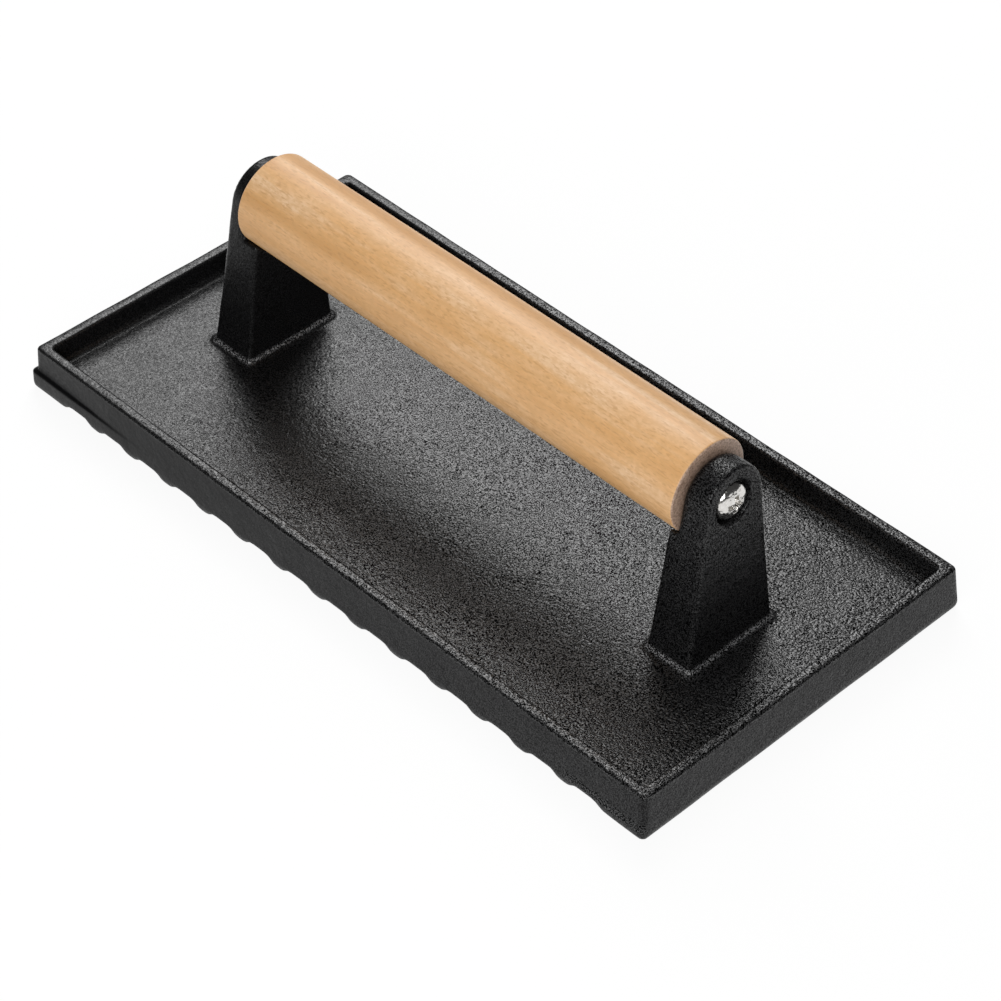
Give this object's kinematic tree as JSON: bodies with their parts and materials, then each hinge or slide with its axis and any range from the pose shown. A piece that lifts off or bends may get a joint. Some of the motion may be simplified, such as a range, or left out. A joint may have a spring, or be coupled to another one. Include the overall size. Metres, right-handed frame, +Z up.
{
  "type": "bacon press",
  "caption": "Rectangular cast-iron bacon press with a rimmed, ridged plate, two posts and a turned wooden grip on a through bolt.",
  "frame": {"origin": "on the resting plane, under the middle of the plate", "axes": "+X along the grip and the plate's long side, towards the bolt's head; +Y across the plate; +Z up, from the grooved underside to the grip"},
  "size_m": [0.2114, 0.1082, 0.061],
  "materials": {
    "casting": "pre-seasoned black cast iron with a fine pebbled sand-cast grain, satin",
    "grip": "light beech-like hardwood, turned and sealed with a satin lacquer",
    "plated_steel": "bright nickel plating",
    "spring_steel": "zinc-plated spring steel, dull"
  },
  "bodies": {
    "press": {"press_casting": "casting", "through_bolt": "plated_steel", "lock_washer": "spring_steel", "hex_nut": "plated_steel"},
    "grip": {"wood_grip": "grip"}
  },
  "joints": [
    {"name": "grip_spin", "type": "hinge", "parent": "press", "child": "grip", "pos_m": [0, 0, 0.049], "axis": [1, 0, 0], "continuous": true}
  ]
}
